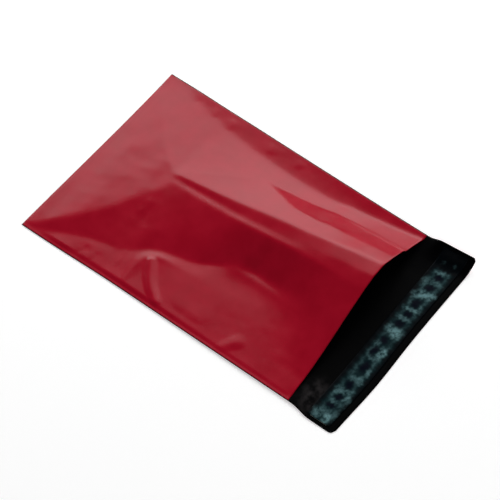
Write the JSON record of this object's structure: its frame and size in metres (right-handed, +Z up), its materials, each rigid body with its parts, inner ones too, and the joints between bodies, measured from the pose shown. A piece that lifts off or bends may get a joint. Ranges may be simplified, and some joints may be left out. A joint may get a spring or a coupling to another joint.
{
  "type": "poly mailer bag",
  "caption": "Thin film mailing bag, red outside and black inside, lying lightly puffed with its mouth ajar and a self-seal lip under a release liner",
  "frame": {"origin": "on the table under the middle of the bag: centre of the bounding box across and along, at its lowest point", "axes": "+X across the bag, +Y along it towards the closed end, the lip at -Y, +Z up out of the front panel"},
  "size_m": [0.165, 0.27, 0.0224],
  "materials": {
    "bag_film": "co-extruded polyethylene film, soft gloss, red outside and black inside",
    "hot_melt_glue": "pressure-sensitive hot-melt glue, cloudy and tacky",
    "liner_film": "thin silicone-coated release film, see-through teal tint, glossy"
  },
  "bodies": {
    "root": {"film_bag": "bag_film", "adhesive_strip": "hot_melt_glue", "release_liner": "liner_film"}
  },
  "joints": []
}
